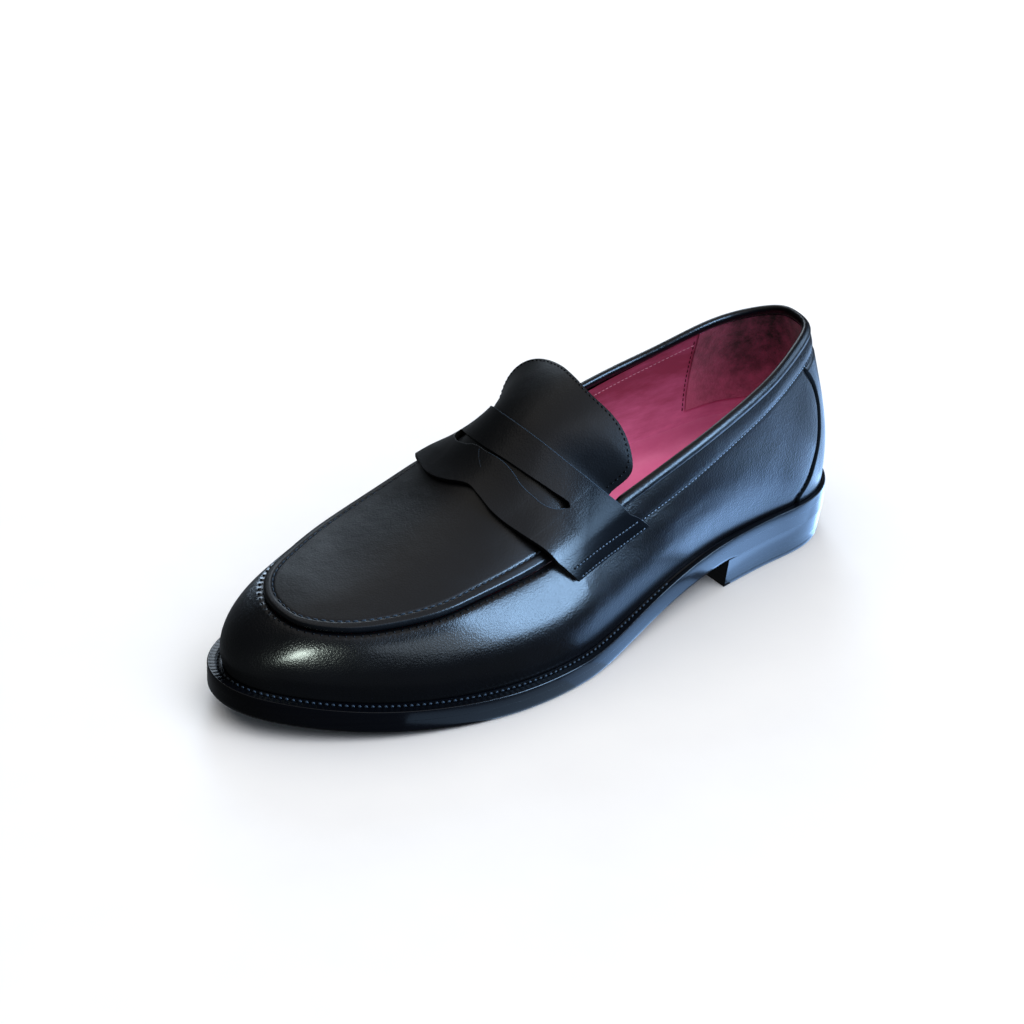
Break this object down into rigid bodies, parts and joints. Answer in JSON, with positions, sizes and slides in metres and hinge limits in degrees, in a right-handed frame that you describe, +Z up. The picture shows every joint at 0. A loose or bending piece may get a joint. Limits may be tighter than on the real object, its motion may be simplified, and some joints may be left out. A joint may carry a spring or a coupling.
{
  "type": "penny loafer",
  "caption": "Black leather penny loafer for the left foot, with a slotted saddle strap, raised apron seam, burgundy lining, welted sole and low stacked heel.",
  "frame": {"origin": "middle of the bounding box, on the floor under the sole", "axes": "+X from heel to toe, +Y to the outer (lateral) side of this left shoe, +Z up"},
  "size_m": [0.3, 0.1048, 0.103],
  "materials": {
    "black_calf": "polished",
    "burgundy_lining": "satin",
    "sole_edge_black": "burnished edge",
    "black_rubber": "matte"
  },
  "bodies": {
    "root": {"upper": "black_calf", "saddle_strap": "black_calf", "tongue": "black_calf", "topline_binding": "black_calf", "back_stay": "black_calf", "insole": "burgundy_lining", "welt": "sole_edge_black", "outsole": "sole_edge_black", "heel_block": "sole_edge_black", "top_lift": "black_rubber"}
  },
  "joints": []
}
